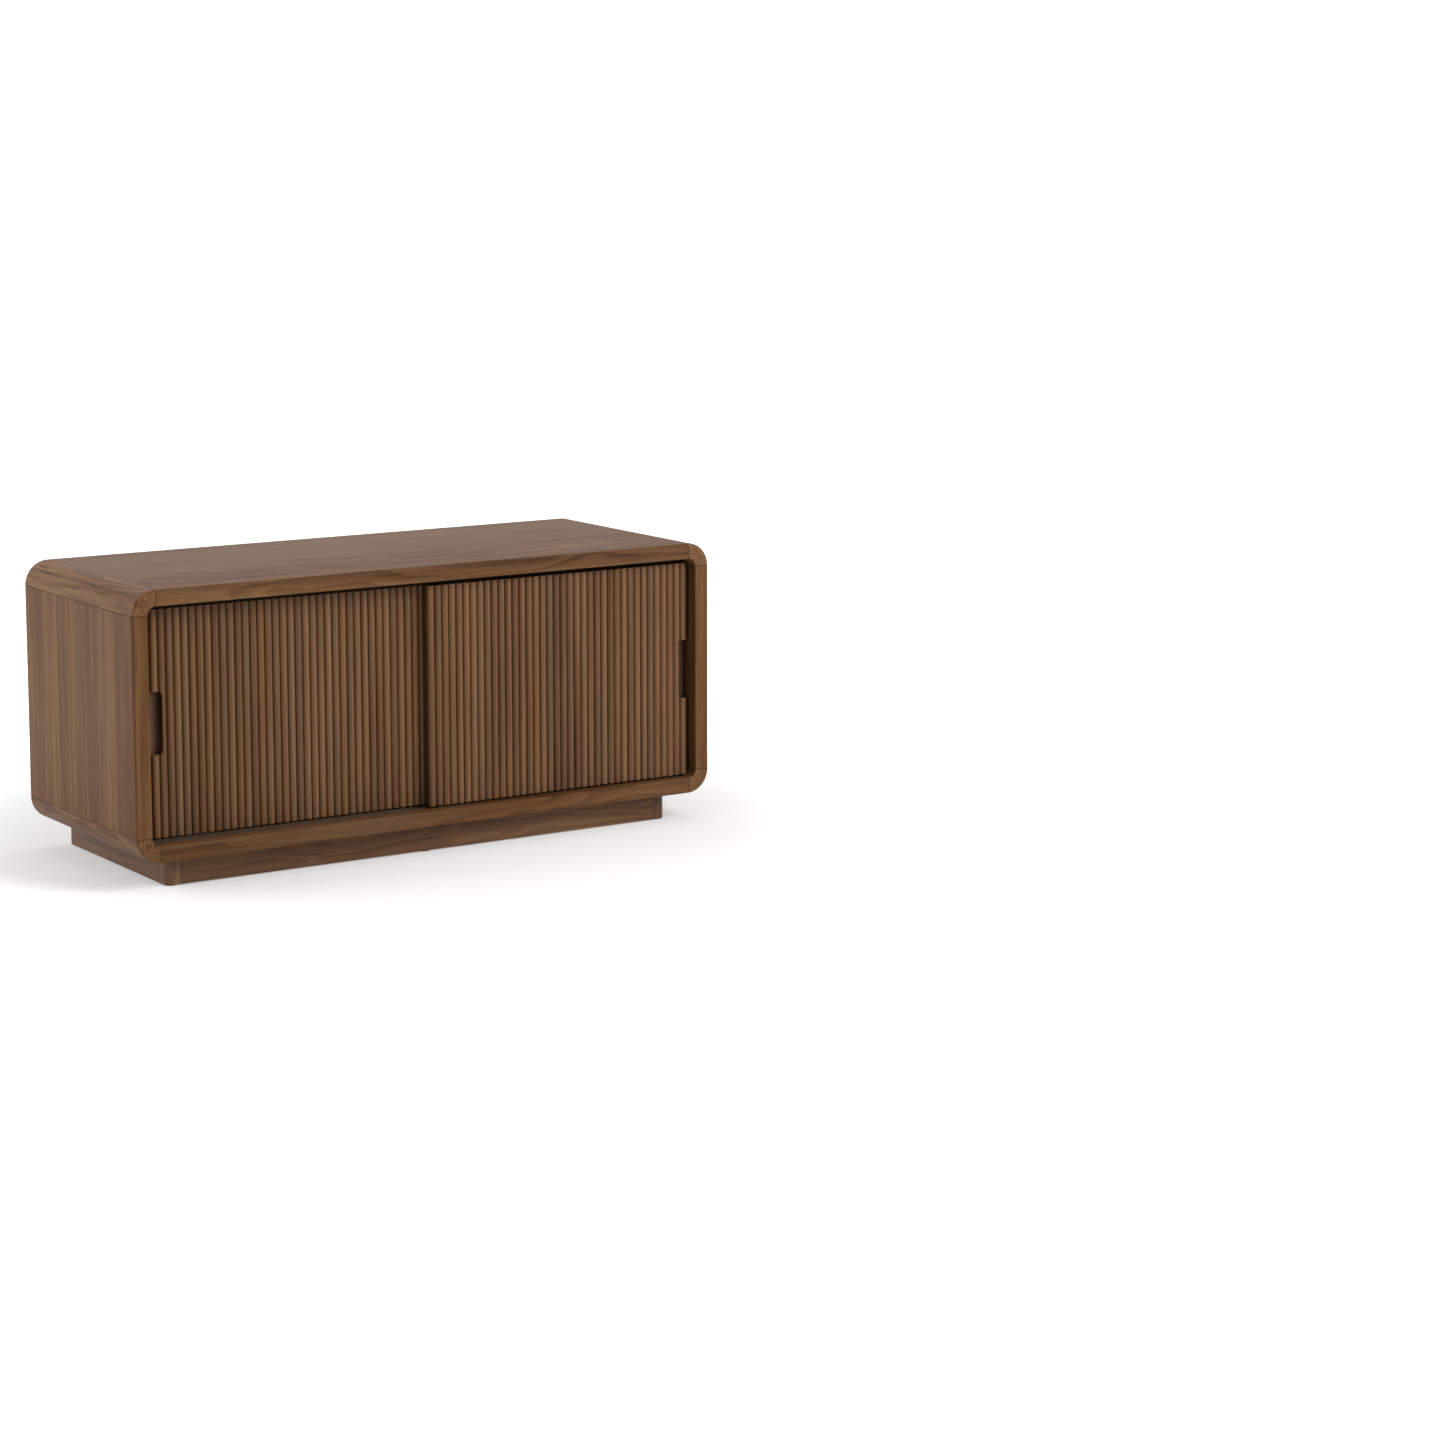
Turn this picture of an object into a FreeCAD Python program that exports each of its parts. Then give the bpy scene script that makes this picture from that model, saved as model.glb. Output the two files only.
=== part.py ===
"""Media cabinet: a rounded wooden casing on a recessed plinth, with two reeded bypass sliding doors.

Millimetres, +X to the right seen from the front, +Y to the back, +Z up.
The origin is at the centre of the footprint, on the floor.
"""
import FreeCAD, Part
import math
import os
import Sketcher

from FreeCAD import Placement, Rotation, Vector

# The driving dimensions. Each is one cell of the sheet, under the same name.
DIMENSIONS = {
    # casing
    "cabinet_width": 1220,
    "cabinet_depth": 480,
    "cabinet_height": 550,
    "board": 30,
    "corner_radius": 46,
    "edge_round": 4.5,
    "seam_bevel": 0.6,
    # plinth
    "plinth_height": 55,
    "plinth_side_inset": 74,
    "plinth_front_inset": 42,
    "plinth_board": 22,
    "post_size": 30,
    "post_round": 15,
    "glide_radius": 10,
    "glide_height": 2,
    "glue_block_length": 40,
    "glue_block_width": 20,
    "glue_block_height": 25,
    # back and inside
    "back_thickness": 8,
    "back_recess": 10,
    "back_clearance": 0.5,
    "batten_size": 18,
    "divider_thickness": 18,
    "divider_door_gap": 5,
    "shelf_thickness": 18,
    "shelf_height": 280,
    "shelf_side_gap": 0.8,
    "shelf_front_gap": 14,
    "shelf_back_gap": 4,
    "pin_radius": 2.5,
    "pin_insert": 7.5,
    "pin_reach": 9,
    "pin_pitch": 32,
    "pin_edge": 45,
    "cable_hole_radius": 30,
    "cable_hole_height": 115,
    "grommet_wall": 3,
    "grommet_lip": 4,
    "grommet_lip_thickness": 2,
    # doors
    "door_recess": 20,
    "door_thickness": 22,
    "door_air_gap": 6,
    "door_overlap": 6.8,
    "door_floor_gap": 5,
    "door_top_gap": 11,
    "door_corner_gap": 1.1,
    "door_stop_gap": 0.3,
    "rear_door_ajar": 20,
    "reed_depth": 7,
    "reed_gap": 0.4,
    "reed_count": 38,
    "notch_depth": 21,
    "notch_height": 116,
    "notch_round": 9,
    "notch_sink": 17,
    "bumper_radius": 5,
    "bumper_end_distance": 45,
    # door running gear
    "track_plate": 2,
    "track_fin": 2,
    "track_channel": 9,
    "track_end_gap": 0.5,
    "upper_fin_height": 8,
    "lower_fin_height": 2,
    "roller_radius": 11,
    "roller_width": 4.4,
    "roller_track_gap": 0.3,
    "roller_end_distance": 70,
    "axle_radius": 2,
    "axle_clearance": 0.05,
    "housing_length": 44,
    "housing_width": 10,
    "housing_height": 24,
    "housing_slot_length": 28,
    "housing_slot_width": 6,
    "housing_roof": 2,
    "let_in_clearance": 0.1,
    "guide_length": 40,
    "guide_width": 8,
    "guide_height": 7,
    # fasteners
    "case_dowel_radius": 4,
    "case_dowel_length": 30,
    "plinth_dowel_radius": 3,
    "plinth_dowel_length": 24,
    "screw_radius": 1.5,
    "screw_head_radius": 3,
    "screw_head_height": 1.6,
    "track_screw_length": 14,
    "back_screw_length": 22,
    "plinth_screw_length": 45,
    "hole_clearance": 0.05,
    "hole_end_clearance": 0.5,
}
# Where the screws stand: shares of each half of the back, and of the tracks' half length.
BACK_SCREW_SHARES = (0.1, 0.5, 0.9)
TRACK_SCREW_SHARES = (-0.9, -0.45, 0, 0.45, 0.9)
TOLERANCE = 0.01

doc = FreeCAD.newDocument("media_cabinet")
sheet = doc.addObject("Spreadsheet::Sheet", "sizes")


class Size:
    """A length: its number, and the expression over the sheet's cells that gives it."""

    def __init__(self, value, text):
        self.value = value
        self.text = text

    def __add__(self, other):
        return Size(self.value + number(other), f"({self.text} + {formula(other)})")

    def __sub__(self, other):
        return Size(self.value - number(other), f"({self.text} - {formula(other)})")

    def __mul__(self, other):
        return Size(self.value * number(other), f"({self.text} * {formula(other)})")

    def __truediv__(self, other):
        return Size(self.value / number(other), f"({self.text} / {formula(other)})")

    def __neg__(self):
        return Size(-self.value, f"(-1 * {self.text})")


def number(size):
    return size.value if isinstance(size, Size) else size


def formula(size):
    return size.text if isinstance(size, Size) else repr(size)


def square_root(size):
    return Size(math.sqrt(size.value), f"sqrt({size.text})")


def bind(item, prop, size):
    item.setExpression(prop, formula(size))


class Sizes:
    """The driving dimensions by name, and the places worked out from them."""


def fill_sheet():
    sizes = Sizes()
    for row, (name, value) in enumerate(DIMENSIONS.items(), 1):
        sheet.set(f"A{row}", name)
        sheet.set(f"B{row}", str(value))
        sheet.setAlias(f"B{row}", name)
        setattr(sizes, name, Size(value, f"sizes.{name}"))
    doc.recompute()
    return sizes


d = fill_sheet()

# Casing places.
d.half_width = d.cabinet_width / 2
d.front = -(d.cabinet_depth / 2)
d.back = d.cabinet_depth / 2
d.top_under = d.cabinet_height - d.board
d.floor_top = d.plinth_height + d.board
d.opening_height = d.top_under - d.floor_top
d.middle_z = (d.top_under + d.floor_top) / 2
d.inner_x = d.half_width - d.board
d.seam_x = d.half_width - d.corner_radius
d.seam_high = d.cabinet_height - d.corner_radius
d.seam_low = d.plinth_height + d.corner_radius
d.inner_radius = d.corner_radius - d.board

# How far the rounded inner corner reaches in from the jamb, level with the foot of a door.
d.corner_drop = d.inner_radius - d.door_floor_gap
d.corner_rise = square_root(d.inner_radius * d.inner_radius - d.corner_drop * d.corner_drop)
d.corner_reach = d.inner_radius - d.corner_rise
d.bumper_thickness = d.corner_reach + d.door_corner_gap
d.door_limit_x = d.inner_x - d.bumper_thickness - d.door_stop_gap

# Door places: the doors share the clear width and overlap a little when both are shut.
d.door_width = d.door_limit_x + d.door_overlap / 2
d.door_pitch = d.door_thickness + d.door_air_gap
d.door_foot = d.floor_top + d.door_floor_gap
d.door_head = d.top_under - d.door_top_gap
d.door_height = d.door_head - d.door_foot
d.door_board = d.door_thickness - d.reed_depth
d.front_door_y = d.front + d.door_recess
d.rear_door_y = d.front_door_y + d.door_pitch
d.reed_pitch = d.door_width / d.reed_count

# Where the inside starts behind the doors and ends before the back.
d.inside_front = d.rear_door_y + d.door_thickness + d.divider_door_gap
d.back_front = d.back - d.back_recess - d.back_thickness
d.batten_front = d.back_front - d.batten_size
d.half_divider = d.divider_thickness / 2
d.shelf_under = d.floor_top + d.shelf_height

# Plinth places.
d.plinth_x = d.half_width - d.plinth_side_inset
d.plinth_front = d.front + d.plinth_front_inset
d.post_x = d.plinth_x - d.post_size
d.post_front_end = d.plinth_front + d.post_size
d.post_back_start = d.back - d.post_size

# The turn that takes +Z to each direction.
TURNS = {
    "+X": Rotation(Vector(0, 1, 0), 90),
    "-X": Rotation(Vector(0, 1, 0), -90),
    "+Y": Rotation(Vector(1, 0, 0), -90),
    "-Y": Rotation(Vector(1, 0, 0), 90),
    "+Z": Rotation(),
    "-Z": Rotation(Vector(1, 0, 0), 180),
}
OPPOSITE = {"+X": "-X", "-X": "+X", "+Y": "-Y", "-Y": "+Y", "+Z": "-Z", "-Z": "+Z"}
SIDES = (-1, 1)

nodes = []


def keep(item, label):
    """Make an object one of the cabinet's named pieces."""
    item.Label = label
    nodes.append(item)
    return item


# ---------------------------------------------------------------- building blocks

def place(item, point):
    for axis, value in zip("xyz", point):
        bind(item, f"Placement.Base.{axis}", value)


def block(name, low, high):
    """A box from its low corner to its high corner."""
    item = doc.addObject("Part::Box", name)
    for prop, start, end in zip(("Length", "Width", "Height"), low, high):
        bind(item, prop, end - start)
    place(item, low)
    return item


def rod(name, start, direction, radius, length):
    """A cylinder from a point along a direction."""
    item = doc.addObject("Part::Cylinder", name)
    item.Placement = Placement(Vector(), TURNS[direction])
    bind(item, "Radius", radius)
    bind(item, "Height", length)
    place(item, start)
    return item


def group(name, items):
    item = doc.addObject("Part::Compound", name)
    item.Links = items
    return item


def joined(name, items):
    item = doc.addObject("Part::MultiFuse", name)
    item.Shapes = items
    return item


def cut(name, base, tools):
    item = doc.addObject("Part::Cut", name)
    item.Base = base
    item.Tool = tools[0] if len(tools) == 1 else group(name + "_tools", tools)
    return item


def mirrored(name, source, normal, base=Vector()):
    item = doc.addObject("Part::Mirroring", name)
    item.Source = source
    item.Normal = normal
    item.Base = base
    return item


def left_of(name, source):
    """The left-hand twin of a right-hand piece."""
    return mirrored(name, source, Vector(1, 0, 0))


def below_of(name, source):
    """The twin of a piece, mirrored about the casing's middle height."""
    item = mirrored(name, source, Vector(0, 0, 1))
    bind(item, "Base.z", d.middle_z)
    return item


def outline(sketch, corners):
    """A closed outline, fully constrained. A corner is (u, v), or (u, v, centre, turn) where an arc of
    that centre leads on to the next corner, turning left (1) or right (-1)."""
    ends = []
    for index, corner in enumerate(corners):
        following = corners[(index + 1) % len(corners)]
        here = Vector(number(corner[0]), number(corner[1]), 0)
        there = Vector(number(following[0]), number(following[1]), 0)
        if len(corner) == 2:
            edge = sketch.addGeometry(Part.LineSegment(here, there), False)
            ends.append((edge, 1, 2))
            continue
        centre = Vector(number(corner[2][0]), number(corner[2][1]), 0)
        first, last = (here, there) if corner[3] > 0 else (there, here)
        circle = Part.Circle(centre, Vector(0, 0, 1), (here - centre).Length)
        arc = Part.ArcOfCircle(circle, circle.parameter(first), circle.parameter(last))
        edge = sketch.addGeometry(arc, False)
        ends.append((edge, 1, 2) if corner[3] > 0 else (edge, 2, 1))
    for index, (edge, start, end) in enumerate(ends):
        after = ends[(index + 1) % len(ends)]
        sketch.addConstraint(Sketcher.Constraint("Coincident", edge, end, after[0], after[1]))
    for index, (edge, start, end) in enumerate(ends):
        for kind, size in (("DistanceX", corners[index][0]), ("DistanceY", corners[index][1])):
            datum = sketch.addConstraint(Sketcher.Constraint(kind, -1, 1, edge, start, number(size)))
            bind(sketch, f"Constraints[{datum}]", size)


PLANES = {"XY": ("XY_Plane", 1), "XZ": ("XZ_Plane", -1), "YZ": ("YZ_Plane", 1)}


def prism(name, plane, corners, start, length):
    """A body padded from an outline, from start along the axis that the plane faces."""
    role, facing = PLANES[plane]
    body = doc.addObject("PartDesign::Body", name)
    base = [feature for feature in body.Origin.OriginFeatures if feature.Role == role][0]
    sketch = body.newObject("Sketcher::SketchObject", name + "_outline")
    sketch.AttachmentSupport = [(base, "")]
    sketch.MapMode = "FlatFace"
    bind(sketch, "AttachmentOffset.Base.z", start * facing)
    outline(sketch, corners)
    pad = body.newObject("PartDesign::Pad", name + "_pad")
    pad.Profile = sketch
    pad.Reversed = facing < 0
    bind(pad, "Length", length)
    doc.recompute()
    return body


def rectangle(low, high):
    return [(low[0], low[1]), (high[0], low[1]), (high[0], high[1]), (low[0], high[1])]


def edges_of(body, wanted):
    """The names of the edges of a body's last feature whose box passes a test."""
    edges = enumerate(body.Tip.Shape.Edges, 1)
    return [f"Edge{index}" for index, edge in edges if wanted(edge.BoundBox)]


def dressed(body, kind, prop, size, wanted):
    """Add a Fillet or Chamfer on the chosen edges of a body."""
    last = body.Tip
    names = edges_of(body, wanted)
    feature = body.newObject(f"PartDesign::{kind}", f"{body.Name}_{kind}")
    feature.Base = (last, names)
    bind(feature, prop, size)
    doc.recompute()
    return body


def pegs(name, places, radius, length):
    """Equal pegs, each centred on a place along a direction, and the holes that take them."""
    solids = []
    holes = []
    for index, (direction, x, y, z) in enumerate(places, 1):
        hole = (holes, d.hole_clearance, d.hole_end_clearance, "hole")
        for made, extra, end, word in ((solids, 0, 0, "peg"), hole):
            half = length / 2 + end
            start = [x, y, z]
            axis = "XYZ".index(direction[1])
            start[axis] = start[axis] - half
            made.append(rod(f"{name}_{word}_{index}", start, direction, radius + extra, half * 2))
    return keep(group(name + "_group", solids), name), holes


def screws(name, places, length):
    """Equal screws, each with its head seated at a place and its shank along a direction, and the holes."""
    solids = []
    holes = []
    for index, (direction, *seat) in enumerate(places, 1):
        shank = rod(f"{name}_shank_{index}", seat, direction, d.screw_radius, length)
        outward = OPPOSITE[direction]
        head = rod(f"{name}_head_{index}", seat, outward, d.screw_head_radius, d.screw_head_height)
        solids.append(joined(f"{name}_screw_{index}", [shank, head]))
        hole_radius = d.screw_radius + d.hole_clearance
        hole_length = length + d.hole_end_clearance
        holes.append(rod(f"{name}_hole_{index}", seat, direction, hole_radius, hole_length))
    return keep(group(name + "_group", solids), name), holes


# ---------------------------------------------------------------- casing

def soften_front(body, near_outline):
    """Round the outer front edge, then bevel the outlines of the seam faces where they show."""
    front = d.front.value
    reach = d.edge_round.value + TOLERANCE
    dressed(body, "Fillet", "Radius", d.edge_round,
            lambda box: box.YMax < front + TOLERANCE and near_outline(box))

    def on_seam(box):
        flat_x = abs(box.XMin - box.XMax) < TOLERANCE and abs(abs(box.XMin) - d.seam_x.value) < TOLERANCE
        flat_z = abs(box.ZMin - box.ZMax) < TOLERANCE and abs(box.ZMin - d.seam_high.value) < TOLERANCE
        low_z = abs(box.ZMin - box.ZMax) < TOLERANCE and abs(box.ZMin - d.seam_low.value) < TOLERANCE
        outside_z = box.ZMin > d.cabinet_height.value - reach
        outside_x = box.XMin > d.half_width.value - reach
        at_front = box.YMax < front + reach
        return (flat_x and (outside_z or at_front)) or ((flat_z or low_z) and (outside_x or at_front))

    return dressed(body, "Chamfer", "Size", d.seam_bevel, on_seam)


def top_board():
    corners = rectangle((-d.seam_x, d.top_under), (d.seam_x, d.cabinet_height))
    body = prism("top_board", "XZ", corners, d.front, d.cabinet_depth)
    return soften_front(body, lambda box: box.ZMin > d.cabinet_height.value - TOLERANCE)


def right_board():
    corners = rectangle((d.inner_x, d.seam_low), (d.half_width, d.seam_high))
    body = prism("right_board", "XZ", corners, d.front, d.cabinet_depth)
    return soften_front(body, lambda box: box.XMin > d.half_width.value - TOLERANCE)


def corner_board():
    """A quarter ring between the top board and the right board."""
    centre = (d.seam_x, d.seam_high)
    corners = [
        (d.seam_x, d.top_under),
        (d.seam_x, d.cabinet_height, centre, -1),
        (d.half_width, d.seam_high),
        (d.inner_x, d.seam_high, centre, 1),
    ]
    body = prism("corner_board", "XZ", corners, d.front, d.cabinet_depth)
    wide = d.inner_radius.value + TOLERANCE
    return soften_front(body, lambda box: box.XLength > wide and box.ZLength > wide)


def casing_holes():
    """Dowels across the eight seams of the casing, and their holes."""
    dowel_y = (-(d.cabinet_depth / 3), d.cabinet_depth * 0, d.cabinet_depth / 3)
    top_mid = d.cabinet_height - d.board / 2
    bottom_mid = d.plinth_height + d.board / 2
    side_mid = d.half_width - d.board / 2
    places = []
    for y in dowel_y:
        for side in SIDES:
            places += [("+X", d.seam_x * side, y, z) for z in (top_mid, bottom_mid)]
            places += [("+Z", side_mid * side, y, z) for z in (d.seam_high, d.seam_low)]
    return pegs("case_dowels", places, d.case_dowel_radius, d.case_dowel_length)[1]


def divider_holes():
    """Dowels that hold the divider between the top and bottom panels."""
    middle = (d.inside_front + d.back_front) / 2
    spread = (d.back_front - d.inside_front) / 3
    heights = (d.top_under, d.floor_top)
    places = [("+Z", 0, y, z) for y in (middle - spread, middle + spread) for z in heights]
    return pegs("divider_dowels", places, d.case_dowel_radius, d.case_dowel_length)[1]


def casing(top_holes, bottom_holes, side_holes):
    dowels = casing_holes()
    top = top_board()
    right = right_board()
    corner = corner_board()
    bottom = below_of("bottom_board", top)
    left = left_of("left_board", right)
    low_corner = below_of("low_corner_board", corner)
    keep(cut("top_cut", top, dowels + top_holes), "top_panel")
    keep(cut("bottom_cut", bottom, dowels + bottom_holes), "bottom_panel")
    keep(cut("right_cut", right, dowels + side_holes[1]), "right_side_panel")
    keep(cut("left_cut", left, dowels + side_holes[-1]), "left_side_panel")
    for label, source in (
        ("top_right_corner_block", corner),
        ("bottom_right_corner_block", low_corner),
        ("top_left_corner_block", left_of("top_left_board", corner)),
        ("bottom_left_corner_block", left_of("bottom_left_board", low_corner)),
    ):
        keep(cut(label + "_cut", source, dowels), label)


# ---------------------------------------------------------------- inside

def shelves():
    """Two shelves on pins, and the rows of pin holes for the sides and for the divider."""
    shelf_front = d.inside_front + d.shelf_front_gap
    shelf_back = d.batten_front - d.shelf_back_gap
    pin_y = (shelf_front + d.pin_edge, shelf_back - d.pin_edge)
    pin_z = d.shelf_under - d.pin_radius
    pins = []
    holes = {-1: [], 0: [], 1: []}
    hole_radius = d.pin_radius + d.hole_clearance
    hole_depth = d.pin_insert + d.hole_end_clearance
    for side in SIDES:
        near, far = d.half_divider + d.shelf_side_gap, d.inner_x - d.shelf_side_gap
        low_x, high_x = (near, far) if side > 0 else (-far, -near)
        shelf = block(f"shelf_{side}", (low_x, shelf_front, d.shelf_under),
                      (high_x, shelf_back, d.shelf_under + d.shelf_thickness))
        keep(shelf, "right_shelf" if side > 0 else "left_shelf")
        outward, inward = ("+X", "-X") if side > 0 else ("-X", "+X")
        for column, y in enumerate(pin_y):
            ends = ((side, d.inner_x * side, outward), (0, d.half_divider * side, inward))
            for target, face, into in ends:
                name = f"pin_{side}_{column}_{target}"
                tip = d.pin_insert * (1 if into == "+X" else -1)
                pin_length = d.pin_insert + d.pin_reach
                pins.append(rod(name, (face + tip, y, pin_z), OPPOSITE[into], d.pin_radius, pin_length))
                for step in (-2, -1, 0, 1, 2):
                    hole_z = pin_z + d.pin_pitch * step
                    hole = rod(f"{name}_hole_{step + 2}", (face, y, hole_z), into, hole_radius, hole_depth)
                    holes[target].append(hole)
    keep(group("pins_group", pins), "shelf_pins")
    return holes


def divider(holes):
    low = (-d.half_divider, d.inside_front, d.floor_top)
    high = (d.half_divider, d.back_front, d.top_under)
    keep(cut("divider_cut", block("divider_board", low, high), holes), "centre_divider")


def back():
    """The back panel with its cable holes and grommets, screwed to battens above and below."""
    edge_x = d.inner_x - d.back_clearance
    corners = rectangle((-edge_x, d.floor_top + d.back_clearance),
                        (edge_x, d.top_under - d.back_clearance))
    panel = prism("back_board", "XZ", corners, d.back_front, d.back_thickness)
    dressed(panel, "Fillet", "Radius", d.inner_radius,
            lambda box: box.YLength > d.back_thickness.value - TOLERANCE)
    back_face = d.back_front + d.back_thickness
    hole_z = d.floor_top + d.cable_hole_height
    cable_holes = []
    grommets = []
    for side in SIDES:
        centre_x = d.inner_x * side / 2
        start = (centre_x, d.back_front, hole_z)
        radius = d.cable_hole_radius
        cable_holes.append(rod(f"cable_hole_{side}", start, "+Y", radius, d.back_thickness))
        sleeve = rod(f"sleeve_{side}", start, "+Y", radius - d.hole_clearance, d.back_thickness)
        lip_start = (centre_x, back_face, hole_z)
        lip = rod(f"lip_{side}", lip_start, "+Y", radius + d.grommet_lip, d.grommet_lip_thickness)
        bore_length = d.back_thickness + d.grommet_lip_thickness
        bore = rod(f"grommet_bore_{side}", start, "+Y", radius - d.grommet_wall, bore_length)
        grommets.append(cut(f"grommet_{side}", joined(f"grommet_blank_{side}", [sleeve, lip]), [bore]))
    keep(group("grommets_group", grommets), "cable_grommets")

    places = []
    heights = {"top": d.top_under - d.batten_size, "bottom": d.floor_top}
    for low_z in heights.values():
        for share in BACK_SCREW_SHARES:
            for side in SIDES:
                seat_x = d.half_divider * side + (d.seam_x - d.half_divider) * (side * share)
                places.append(("-Y", seat_x, back_face, low_z + d.batten_size / 2))
    holes = screws("back_panel_screws", places, d.back_screw_length)[1]
    keep(cut("back_cut", panel, cable_holes + holes), "back_panel")
    for word, low_z in heights.items():
        strips = []
        for side in SIDES:
            low_x, high_x = (d.half_divider, d.seam_x) if side > 0 else (-d.seam_x, -d.half_divider)
            strips.append(block(f"{word}_batten_{side}", (low_x, d.batten_front, low_z),
                                (high_x, d.back_front, low_z + d.batten_size)))
        keep(cut(f"{word}_battens_cut", group(f"{word}_battens", strips), holes), f"back_{word}_battens")


# ---------------------------------------------------------------- door tracks

def track(name, root_z, up, fin_height):
    """A double channel for the two doors, open downwards (up = -1) or upwards (up = 1)."""
    plate_z = root_z + d.track_plate * up
    tip_z = plate_z + fin_height * up
    corners = []
    half = d.track_channel / 2
    for door_y in (d.front_door_y, d.rear_door_y):
        centre = door_y + d.reed_depth + d.door_board / 2
        outer = half + d.track_fin
        corners += [(centre - outer, tip_z), (centre - half, tip_z), (centre - half, plate_z)]
        corners += [(centre + half, plate_z), (centre + half, tip_z), (centre + outer, tip_z)]
        if door_y is d.front_door_y:
            corners = [(centre - outer, root_z)] + corners + [(centre + outer, plate_z)]
            corners.append((centre + d.door_pitch - outer, plate_z))
        else:
            corners.append((centre + outer, root_z))
    end_x = d.seam_x - d.track_end_gap
    return prism(name, "YZ", corners, -end_x, end_x * 2)


def tracks():
    """The upper track, the lower track let in flush, their screws, and what the panels lose to them."""
    middle_y = d.front_door_y + d.reed_depth + d.door_board / 2 + d.door_pitch / 2
    groove_depth = d.track_plate + d.lower_fin_height
    groove_reach = d.door_pitch / 2 + d.track_channel / 2 + d.track_fin + d.let_in_clearance
    upper_seat = d.top_under - d.track_plate
    lower_seat = d.floor_top - d.lower_fin_height
    places = []
    for share in TRACK_SCREW_SHARES:
        places.append(("+Z", d.seam_x * share, middle_y, upper_seat))
        places.append(("-Z", d.seam_x * share, middle_y, lower_seat))
    holes = screws("track_screws", places, d.track_screw_length)[1]
    upper = track("upper_channel", d.top_under, -1, d.upper_fin_height)
    lower = track("lower_channel", d.floor_top - groove_depth, 1, d.lower_fin_height)
    groove = block("track_groove", (-d.seam_x, middle_y - groove_reach, d.floor_top - groove_depth),
                   (d.seam_x, middle_y + groove_reach, d.floor_top + d.track_plate))
    keep(cut("upper_track_cut", upper, holes[0::2]), "upper_track")
    keep(cut("lower_track_cut", lower, holes[1::2]), "lower_track")
    return holes[0::2], holes[1::2] + [groove]


def bumpers():
    """Rubber stops on the jambs, two for each door at each side."""
    stops = []
    for side in SIDES:
        inward = "-X" if side > 0 else "+X"
        for door_y in (d.front_door_y, d.rear_door_y):
            centre_y = door_y + d.reed_depth + d.door_board / 2
            for z in (d.floor_top + d.bumper_end_distance, d.top_under - d.bumper_end_distance):
                name = f"bumper_{len(stops)}"
                start = (d.inner_x * side, centre_y, z)
                stops.append(rod(name, start, inward, d.bumper_radius, d.bumper_thickness))
    keep(group("bumpers_group", stops), "door_bumpers")


# ---------------------------------------------------------------- doors

def reeds(name, left_x, front_y, notch):
    """Half-round slats side by side, standing on the door board."""
    half = d.reed_pitch.value / 2 - d.reed_gap.value / 2
    base_y = front_y.value + d.reed_depth.value
    low_z = d.door_foot.value
    slats = []
    for index in range(int(d.reed_count.value)):
        middle = left_x.value + d.reed_pitch.value * (index + 0.5)
        start = Vector(middle - half, base_y, low_z)
        crest = Vector(middle, front_y.value, low_z)
        end = Vector(middle + half, base_y, low_z)
        face = Part.Face(Part.Wire([Part.Arc(start, crest, end).toShape(), Part.makeLine(end, start)]))
        slats.append(face.extrude(Vector(0, 0, d.door_height.value)))
    blank = doc.addObject("Part::Feature", name + "_blank")
    blank.Shape = Part.makeCompound(slats)
    return keep(cut(name + "_cut", blank, [notch]), name)


def roller_unit(door, word, centre_x, centre_y):
    """One roller on its axle in a housing let into the foot of the door."""
    name = f"{door}_{word}"
    roller_z = d.floor_top - d.lower_fin_height + d.roller_track_gap + d.roller_radius
    half_length = d.housing_length / 2
    half_width = d.housing_width / 2
    foot = d.door_foot
    shell = block(name + "_shell", (centre_x - half_length, centre_y - half_width, foot),
                  (centre_x + half_length, centre_y + half_width, foot + d.housing_height))
    reach_x = half_length + d.let_in_clearance
    reach_y = half_width + d.let_in_clearance
    mortise = block(name + "_mortise", (centre_x - reach_x, centre_y - reach_y, foot),
                    (centre_x + reach_x, centre_y + reach_y, foot + d.housing_height))
    half_slot = d.housing_slot_length / 2
    half_slot_width = d.housing_slot_width / 2
    slot_top = foot + d.housing_height - d.housing_roof
    slot = block(name + "_slot", (centre_x - half_slot, centre_y - half_slot_width, foot),
                 (centre_x + half_slot, centre_y + half_slot_width, slot_top))
    axle_start = (centre_x, centre_y - half_width, roller_z)
    axle = rod(name + "_axle", axle_start, "+Y", d.axle_radius, d.housing_width)
    axle_bore = d.axle_radius + d.axle_clearance
    axle_hole = rod(name + "_axle_hole", axle_start, "+Y", axle_bore, d.housing_width)
    housing = cut(name + "_housing", shell, [slot, axle_hole])
    roller_start = (centre_x, centre_y - d.roller_width / 2, roller_z)
    disc = rod(name + "_disc", roller_start, "+Y", d.roller_radius, d.roller_width)
    bore = rod(name + "_bore", roller_start, "+Y", axle_bore, d.roller_width)
    keep(cut(name + "_roller_cut", disc, [bore]), f"{name}_roller")
    return housing, axle, mortise


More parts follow.
